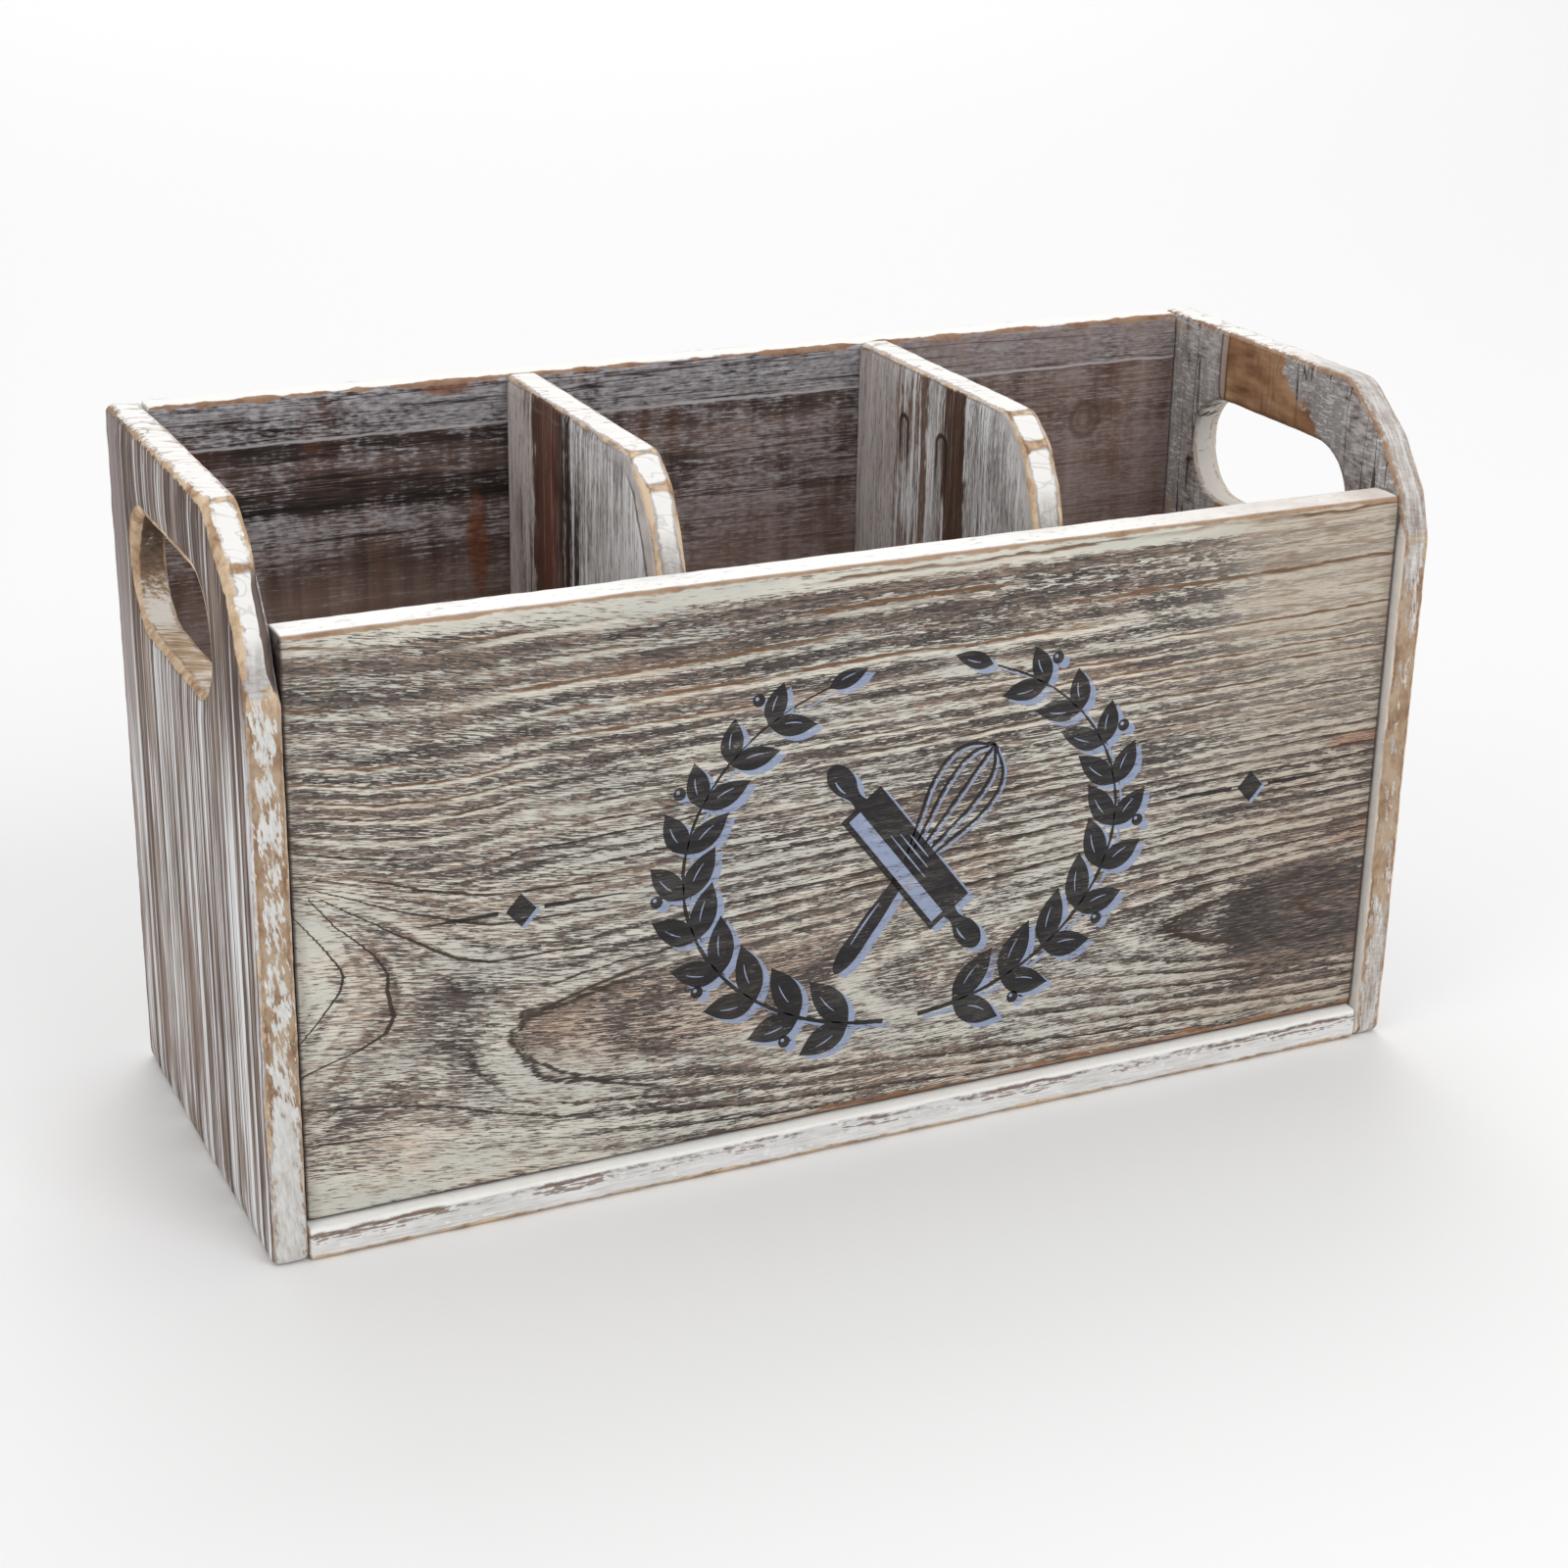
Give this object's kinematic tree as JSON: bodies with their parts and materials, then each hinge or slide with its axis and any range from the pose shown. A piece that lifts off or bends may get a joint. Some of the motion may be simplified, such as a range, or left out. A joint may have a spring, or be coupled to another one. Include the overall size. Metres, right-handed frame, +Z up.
{
  "type": "utensil holder",
  "caption": "Open-topped wooden caddy for kitchen utensils: tall back, lower front, upright dividers and a rounded hand hole through each end.",
  "frame": {"origin": "middle of the footprint, on the surface that the caddy stands on", "axes": "+X to the right along the length, -Y out of the front, +Z up"},
  "size_m": [0.33, 0.127, 0.188],
  "materials": {
    "washed_wood": "torched softwood with a worn grey-white brushed wash, sanded at the edges, matt",
    "front_wood": "brushed softwood with raised brown grain under a thin cream wash, printed, matt",
    "black_print": "thin black ink printed on the front board, matt",
    "blue_print": "thin slate-blue ink printed on the front board, matt",
    "brad_steel": "galvanised wire"
  },
  "bodies": {
    "root": {"left_end": "washed_wood", "right_end": "washed_wood", "bottom_board": "washed_wood", "front_board": "front_wood", "back_board": "washed_wood", "left_divider": "washed_wood", "right_divider": "washed_wood", "left_end_brads": "brad_steel", "right_end_brads": "brad_steel", "back_brads": "brad_steel", "bottom_brads": "brad_steel"}
  },
  "joints": []
}
